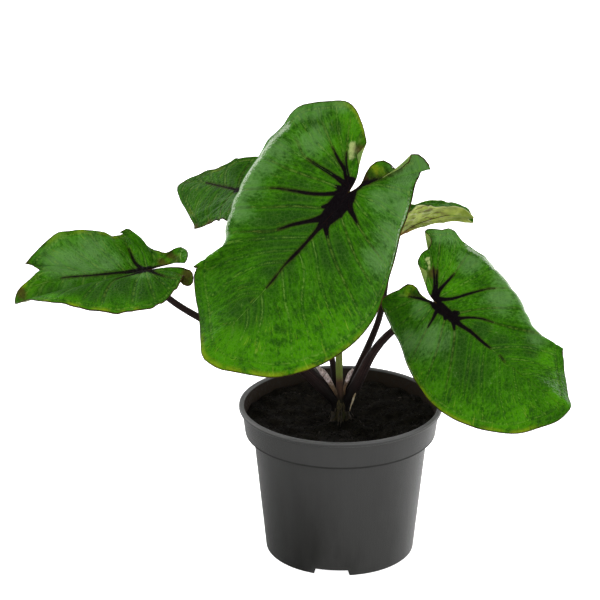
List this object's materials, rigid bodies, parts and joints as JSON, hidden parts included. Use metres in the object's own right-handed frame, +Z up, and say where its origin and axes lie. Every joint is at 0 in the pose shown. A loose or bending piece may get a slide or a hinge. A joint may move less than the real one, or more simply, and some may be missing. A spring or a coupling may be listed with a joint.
{
  "type": "potted foliage plant",
  "caption": "Young caladium-type foliage plant in a round nursery pot: heart-shaped drooping leaves with dark midribs on arching purple-brown stalks that rise from one crown in dark soil.",
  "frame": {"origin": "centre of the pot's underside, on the surface it stands on", "axes": "+Z up along the pot's axis; -Y towards the side that the big leaves face; +X to the right when seen from there"},
  "size_m": [0.3172, 0.148, 0.2696],
  "materials": {
    "pot": "matte",
    "soil": "matte",
    "crown": "matte",
    "stalk_dark": "satin",
    "stalk_pale": "satin",
    "blade": "satin"
  },
  "bodies": {
    "root": {"pot": "pot", "soil": "soil", "crown": "crown", "stalk_front": "stalk_pale", "blade_front": "blade", "stalk_right": "stalk_dark", "blade_right": "blade", "stalk_left": "stalk_dark", "blade_left": "blade", "stalk_back_left": "stalk_dark", "blade_back_left": "blade", "stalk_back_right": "stalk_dark", "blade_back_right": "blade"}
  },
  "joints": []
}
